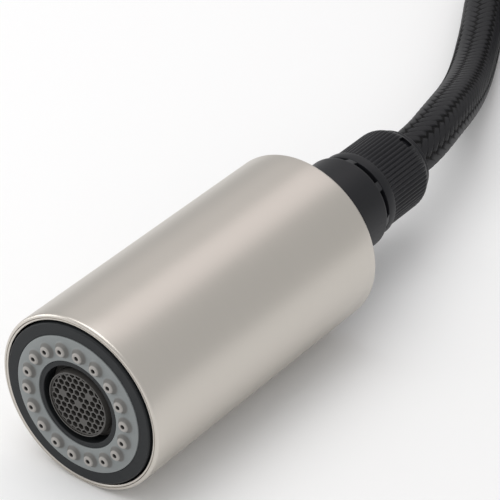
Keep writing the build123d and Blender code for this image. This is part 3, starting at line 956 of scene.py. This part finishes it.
# ------------------------------------------------------------------ hose
@dataclass
class Hose:
    """Braided hose: out of the nut, down to the surface, round its coil and up to the far-end union."""

    length: float = 1.5
    diameter: float = 14.0
    exit: Point = (0.0, 0.0714, 0.025)
    lead: list[Point] = field(default_factory=lambda: [
        (0.0, 61.8, 25.0), (0.0, 81.8, 25.0), (-4.8, 101.2, 23.5), (-11.4, 119.4, 18.4),
        (-19.4, 137.0, 12.4), (-28.4, 155.5, 7.9), (-38.7, 176.1, 7.1), (-52.0, 200.3, 7.1),
        (-64.322, 232.090, 7.3), (-70.316, 265.557, 7.9),
    ])
    tail: list[Point] = field(default_factory=lambda: [
        (60.274, 338.577, 20.3), (74.696, 324.726, 20.7), (87.050, 304.290, 23.1),
        (94.239, 279.473, 26.0), (94.763, 253.480, 26.3),
    ])
    coil_centre: tuple[float, float] = (11.58, 280.226)
    outer_turn: float = 83.2
    inner_turn: float = 68.8
    low_height: float = 7.9
    top_height: float = 20.3
    coil_angle: float = 860.0
    coil_points: int = 36
    # Angles on the coil between which it moves in a turn, climbs on the others, moves out and settles.
    inward: tuple[float, float] = (290.0, 368.0)
    climb: tuple[float, float] = (590.0, 665.0)
    outward: tuple[float, float] = (620.0, 700.0)
    settle: tuple[float, float] = (725.0, 775.0)
    overshoot: float = 2.0
    strands: int = 16
    strand_pitch: float = 3.395
    strand_phase: float = 0.89
    around: int = 96
    fine_length: float = 130.0
    fine_rows: int = 306
    coarse_rows: int = 690
    relief: float = 0.30
    relief_level: float = 0.72
    relief_start: tuple[float, float] = (2.0, 9.0)
    relief_end: float = 110.0
    strand_rise: float = 0.16
    strand_crown: float = 0.06

    def _step(self, angle: float, low: float, high: float) -> float:
        """Smooth step.

        Args:
            angle: an angle in degrees, or any other measure in the unit of low and high.
            low: where the step begins.
            high: where it ends.

        Returns:
            From 0 to 1.
        """
        share = min(1.0, max(0.0, (angle - low) / (high - low)))
        return share * share * (3.0 - 2.0 * share)

    def join(self) -> float:
        """Angle round the coil's centre at which the lead meets the coil.

        Returns:
            The angle in radians.
        """
        return math.atan2(self.lead[-1][1] - self.coil_centre[1], self.lead[-1][0] - self.coil_centre[0])

    def coil(self) -> list[Point]:
        """Control points of the coil, clockwise: an outer turn, an inner turn, and one nested on top.

        Returns:
            The points in millimetres.
        """
        gap = self.coil_angle / self.coil_points
        outside = 1.0 / math.cos(math.radians(gap / 2))
        top_turn = (self.outer_turn + self.inner_turn) / 2
        points = []
        for number in range(self.coil_points):
            angle = (number + 0.5) * gap
            inward = self._step(angle, *self.inward) * (self.inner_turn - self.outer_turn)
            outward = self._step(angle, *self.outward) * (top_turn - self.inner_turn)
            climb = self._step(angle, *self.climb) * (self.top_height + self.overshoot - self.low_height)
            settle = self._step(angle, *self.settle) * -self.overshoot
            radius = (self.outer_turn + inward + outward) * outside
            full = self.join() - math.radians(angle)
            x = self.coil_centre[0] + radius * math.cos(full)
            y = self.coil_centre[1] + radius * math.sin(full)
            points.append((x, y, self.low_height + climb + settle))
        return points

    def centreline(self) -> list[Vector]:
        """Points read from the route's own spline.

        Returns:
            The points in metres, from the nut to the union.
        """
        route = self.lead + self.coil() + self.tail
        curve = bpy.data.curves.new("hose_route", "CURVE")
        curve.dimensions = "3D"
        spline = curve.splines.new("NURBS")
        spline.points.add(len(route) - 1)
        for point, place in zip(spline.points, route):
            point.co = (place[0] * MM, place[1] * MM, place[2] * MM, 1.0)
        spline.order_u = 3
        spline.use_endpoint_u = True
        spline.resolution_u = 40
        guide = bpy.data.objects.new("hose_route", curve)
        bpy.context.scene.collection.objects.link(guide)
        bpy.context.view_layer.update()
        read = bpy.data.meshes.new_from_object(guide)
        points = [vert.co.copy() for vert in read.vertices]
        bpy.data.objects.remove(guide)
        bpy.data.curves.remove(curve)
        bpy.data.meshes.remove(read)
        return points

    def _stations(self, points: list[Vector]) -> list[float]:
        """Distance along the centreline of each of its points.

        Args:
            points: the centreline.

        Returns:
            The distances in metres.
        """
        reached = [0.0]
        for before, after in zip(points, points[1:]):
            reached.append(reached[-1] + (after - before).length)
        return reached

    def _sections(
        self, points: list[Vector], places: list[float],
    ) -> list[tuple[Vector, Vector, Vector]]:
        """Centre of the hose at each place, and two directions square to it, without twist between them.

        Args:
            points: the centreline.
            places: distances along it in metres, rising.

        Returns:
            Centre, first side and second side of each section.
        """
        reached = self._stations(points)
        sections = []
        index = 0
        side = Vector((0.0, 0.0, 1.0))
        for place in places:
            while index < len(points) - 2 and reached[index + 1] < place:
                index += 1
            run = points[index + 1] - points[index]
            share = (place - reached[index]) / max(run.length, 1e-9)
            behind = points[max(0, index - 1)]
            ahead = points[min(len(points) - 1, index + 2)]
            tangent = (run.normalized() + (ahead - behind).normalized()).normalized()
            side = (side - tangent * side.dot(tangent)).normalized()
            sections.append((points[index] + run * share, side.copy(), tangent.cross(side)))
        return sections

    def _height(self, u: float, v: float) -> float:
        """Height of the braid, from 0 in a gap to 1 on a strand's crown.

        Args:
            u: strands round the hose.
            v: strand pitches along it.

        Returns:
            The height.
        """
        right, left = u - v, u + v
        half = BRAID_REPEAT // 2
        over = (math.floor(right) + math.floor(left)) % BRAID_REPEAT < half
        across = right if over else left
        run = left + math.floor(right) if over else right + math.floor(left) - half
        share = run % BRAID_REPEAT / half
        rise = self._step(share, 0.0, self.strand_rise)
        rise *= 1.0 - self._step(share, 1.0 - self.strand_rise, 1.0)
        place = across - math.floor(across)
        return rise * (1.0 - self.strand_crown * abs(2.0 * place - 1.0) ** 2)

    def build(self, finishes: Finishes) -> None:
        """Wrap a grid round the centreline and raise the braid on it.

        Args:
            finishes: the object's finishes.
        """
        points = self.centreline()
        total = self._stations(points)[-1]
        rows = self.fine_rows + self.coarse_rows
        fine = self.fine_length * MM
        places = [fine * row / self.fine_rows for row in range(self.fine_rows)]
        places += [fine + (total - fine) * row / self.coarse_rows for row in range(self.coarse_rows + 1)]
        sections = self._sections(points, places)
        bm = bmesh.new()
        bmesh.ops.create_grid(bm, x_segments=self.around, y_segments=rows, size=1.0)
        strands = bm.loops.layers.uv.new("strands")
        for face in bm.faces:
            for loop in face.loops:
                row = round((loop.vert.co.y + 1.0) / 2.0 * rows)
                share = (loop.vert.co.x + 1.0) / 2.0
                loop[strands].uv = (
                    share * self.strands + self.strand_phase, places[row] / (self.strand_pitch * MM))
        for vert in bm.verts:
            row = round((vert.co.y + 1.0) / 2.0 * rows)
            share = (vert.co.x + 1.0) / 2.0
            place = places[row]
            shown = self._step(place / MM, *self.relief_start)
            shown *= 1.0 - self._step(place / MM, self.relief_end, self.fine_length)
            around = share % 1.0 * self.strands + self.strand_phase
            height = self._height(around, place / (self.strand_pitch * MM))
            radius = (self.diameter / 2 + self.relief * shown * (height - self.relief_level)) * MM
            centre, side, across = sections[row]
            turn = 2.0 * math.pi * share
            vert.co = centre + (side * math.cos(turn) + across * math.sin(turn)) * radius
        bmesh.ops.remove_doubles(bm, verts=bm.verts, dist=1e-6)
        bmesh.ops.holes_fill(bm, edges=[edge for edge in bm.edges if edge.is_boundary], sides=0)
        cut = ("supply_hose", "hose_coil", "hose_tail")
        hose = as_piece(bm, "braided_hose", finishes.braid, Body.HOSE, cut, sharp=60.0)
        path = [tuple(section[0]) for section in sections[::3]] + [tuple(sections[-1][0])]
        LOG.info("hose is %.3f m long", total)


@dataclass
class CoilTie:
    """Hook-and-loop strap round the three strands of the coil."""

    angle: float = 70.0
    span: float = 10.5
    thickness: float = 0.75
    clearance: float = 7.1
    arc_steps: int = 10
    span_steps: int = 6
    weave_slant: float = 0.7

    def build(self, finishes: Finishes, hose: Hose) -> None:
        """Wrap the strap round the strands.

        Args:
            finishes: the object's finishes.
            hose: the hose that it holds.
        """
        centre_x, centre_y = hose.coil_centre
        middle_turn = (hose.outer_turn + hose.inner_turn) / 2
        centres = [
            (hose.outer_turn, hose.low_height),
            (middle_turn, hose.top_height),
            (hose.inner_turn, hose.low_height),
        ]
        bm = bmesh.new()
        corners = []
        for number, (x, z) in enumerate(centres):
            before = centres[number - 1]
            after = centres[(number + 1) % 3]
            start = math.atan2(z - before[1], x - before[0]) - math.pi / 2
            sweep = (math.atan2(after[1] - z, after[0] - x) - math.pi / 2 - start) % (2.0 * math.pi)
            reach = (self.clearance * math.cos(start), self.clearance * math.sin(start))
            first = bm.verts.new((x + reach[0], 0.0, z + reach[1]))
            bmesh.ops.spin(
                bm, geom=[first], cent=(x, 0.0, z), axis=(0.0, -1.0, 0.0), angle=sweep, steps=self.arc_steps,
            )
            bm.verts.ensure_lookup_table()
            corners.append((first, bm.verts[-1]))
        for number, (first, _) in enumerate(corners):
            bm.edges.new((corners[number - 1][1], first))
        far_side = hose.join() - math.radians(self.angle + self.span / 2)
        bmesh.ops.rotate(bm, verts=bm.verts, matrix=Matrix.Rotation(far_side, 3, "Z"))
        bmesh.ops.spin(
            bm, geom=list(bm.verts) + list(bm.edges), cent=(0.0, 0.0, 0.0), axis=(0.0, 0.0, 1.0),
            angle=math.radians(self.span), steps=self.span_steps,
        )
        bmesh.ops.recalc_face_normals(bm, faces=bm.faces)
        bmesh.ops.solidify(bm, geom=list(bm.faces), thickness=-self.thickness)
        bmesh.ops.translate(bm, verts=bm.verts, vec=(centre_x, centre_y, 0.0))
        bmesh.ops.scale(bm, verts=bm.verts, vec=(MM, MM, MM))
        weave = bm.loops.layers.uv.new("weave")
        for face in bm.faces:
            for loop in face.loops:
                place = loop.vert.co
                outward = math.hypot(place.x - centre_x * MM, place.y - centre_y * MM)
                loop[weave].uv = (
                    outward + place.z, place.x * self.weave_slant - place.y * self.weave_slant)
        as_piece(bm, "coil_strap", finishes.strap, Body.HOSE, ("coil_tie",), sharp=35.0)


@dataclass
class Union:
    """Crimp, nipple and union nut at the hose's far end."""

    def build(self, finishes: Finishes) -> None:
        """Dress the fitting.

        Args:
            finishes: the object's finishes.
        """
        dress("end_ferrule", finishes.stainless)
        dress("end_nipple", finishes.brass)
        dress("union_nut", finishes.brass)
        dress("end_gasket", finishes.rubber)


# ------------------------------------------------------------------ studio
@dataclass(frozen=True)
class Softbox:
    """One soft rectangular light: where it hangs, what it points at, its width and height, and its watts."""

    name: str
    place: Point
    target: Point
    size: tuple[float, float]
    power: float
    colour: Colour = (1.0, 1.0, 1.0)

    def hang(self) -> None:
        """Build the light."""
        lamp = bpy.data.lights.new(self.name, "AREA")
        lamp.shape = "RECTANGLE"
        lamp.size, lamp.size_y = self.size
        lamp.energy = self.power
        lamp.color = self.colour
        light = bpy.data.objects.new(self.name, lamp)
        light.location = self.place
        light.rotation_mode = "QUATERNION"
        light.rotation_quaternion = (Vector(self.target) - Vector(self.place)).to_track_quat("-Z", "Y")
        bpy.context.scene.collection.objects.link(light)


@dataclass
class Studio:
    """Pale floor, soft lights and camera."""

    camera_place: Point = (0.345230, -0.456944, 0.418600)
    heading: tuple[float, float] = (-0.602, 0.799)
    drop: float = 33.9
    lens: float = 188.41
    world: float = 0.62
    lights: tuple[Softbox, ...] = (
        Softbox("overhead", (-0.25, -0.25, 1.4), (0.0, 0.0, 0.0), (1.3, 1.3), 10.0),
        Softbox("back_strip", (-0.10, 0.80, 0.90), (0.0, 0.0, 0.03), (0.62, 0.8), 0.85, (1.0, 0.90, 0.92)),
        Softbox("side_strip", (-0.74, 0.73, 0.66), (0.0, 0.0, 0.03), (0.5, 0.45), 0.16, (1.0, 0.92, 0.93)),
        Softbox("left_card", (-0.95, -0.55, 0.25), (0.0, -0.07, 0.03), (0.5, 0.5), 2.2),
    )

    def build(self) -> None:
        """Build the floor, the light and the camera."""
        self._floor()
        self._world()
        for light in self.lights:
            light.hang()
        self._camera()

    def _floor(self) -> None:
        """Lay the floor."""
        bm = bmesh.new()
        bmesh.ops.create_grid(bm, x_segments=4, y_segments=4, size=6.0)
        mesh = bpy.data.meshes.new("floor")
        bm.to_mesh(mesh)
        bm.free()
        mesh.materials.append(PaleFloor().make())
        floor = bpy.data.objects.new("floor", mesh)
        bpy.context.scene.collection.objects.link(floor)

    def _world(self) -> None:
        """Light the surroundings evenly, and show colours as they are."""
        bpy.context.scene.view_settings.view_transform = "Standard"
        world = bpy.data.worlds.new("studio")
        world.use_nodes = True
        background = world.node_tree.nodes["Background"]
        background.inputs["Color"].default_value = (1.0, 1.0, 1.0, 1.0)
        background.inputs["Strength"].default_value = self.world
        bpy.context.scene.world = world

    def _camera(self) -> None:
        """Set up the camera."""
        lens = bpy.data.cameras.new("camera")
        lens.lens = self.lens
        lens.sensor_width = 36.0
        lens.clip_start = 0.01
        lens.clip_end = 100.0
        camera = bpy.data.objects.new("camera", lens)
        flat = Vector((*self.heading, 0.0)).normalized()
        drop = math.radians(self.drop)
        forward = flat * math.cos(drop) - Vector((0.0, 0.0, math.sin(drop)))
        camera.location = self.camera_place
        camera.rotation_mode = "QUATERNION"
        camera.rotation_quaternion = forward.to_track_quat("-Z", "Y")
        bpy.context.scene.collection.objects.link(camera)
        bpy.context.scene.camera = camera


def main() -> None:
    """Build the object and its studio."""
    logging.basicConfig(level=logging.INFO, format="%(message)s")
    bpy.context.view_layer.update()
    finishes = Finishes()
    Casing().build(finishes)
    HoseNut().build(finishes)
    SprayFace().build(finishes)
    Waterway().build(finishes)
    hose = Hose()
    hose.build(finishes)
    CoilTie().build(finishes, hose)
    Union().build(finishes)
    Studio().build()
    bpy.context.view_layer.update()


if __name__ == "__main__":
    main()
